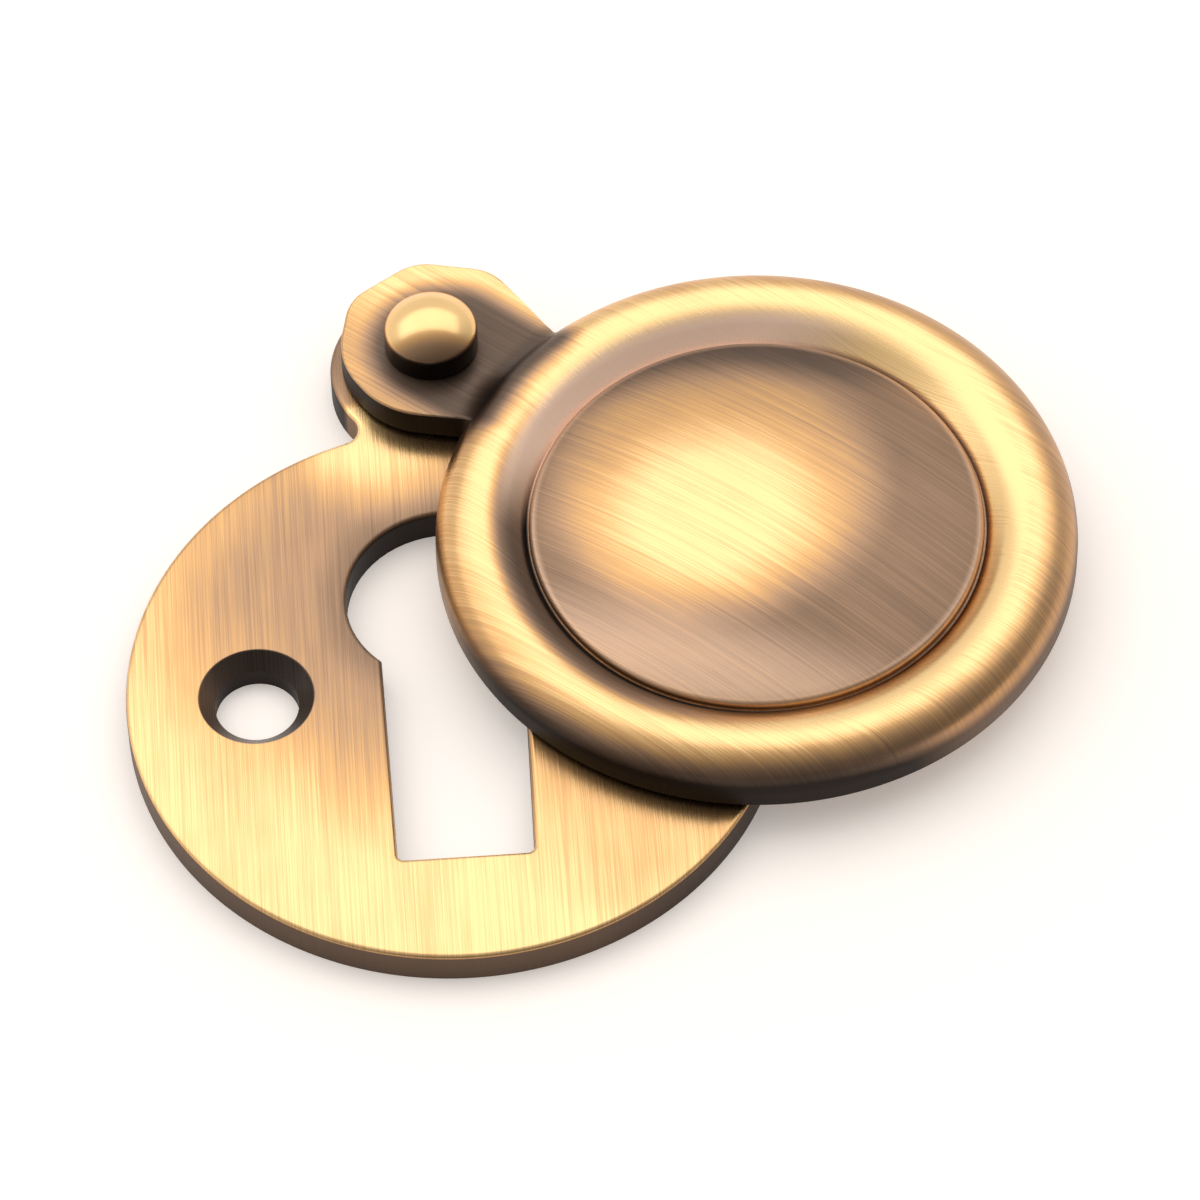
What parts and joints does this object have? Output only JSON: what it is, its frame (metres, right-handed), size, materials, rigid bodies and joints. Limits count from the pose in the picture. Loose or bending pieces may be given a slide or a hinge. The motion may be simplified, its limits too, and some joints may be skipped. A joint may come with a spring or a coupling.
{
  "type": "covered keyhole escutcheon",
  "caption": "Round brass keyhole plate with an ear, screw holes and a domed, ringed cover that swings aside on a rivet.",
  "frame": {"origin": "centre of the round plate on its back face, midway between the screw holes", "axes": "+X across to the right screw hole, +Y up to the ear and the rivet, +Z out of the front"},
  "size_m": [0.0471, 0.0411, 0.006],
  "materials": {
    "plate_brass": "brushed towards the ear, aged and lacquered",
    "cover_brass": "brushed towards the ear, dark in the recesses, lacquered",
    "rivet_brass": "polished and lacquered"
  },
  "bodies": {
    "plate": {"back_plate": "plate_brass", "pivot_rivet": "rivet_brass"},
    "cover": {"swing_cover": "cover_brass"}
  },
  "joints": [
    {"name": "cover_swing", "type": "hinge", "parent": "plate", "child": "cover", "pos_m": [0, 0.0198, 0.0028], "axis": [0, 0, 1], "continuous": true}
  ]
}
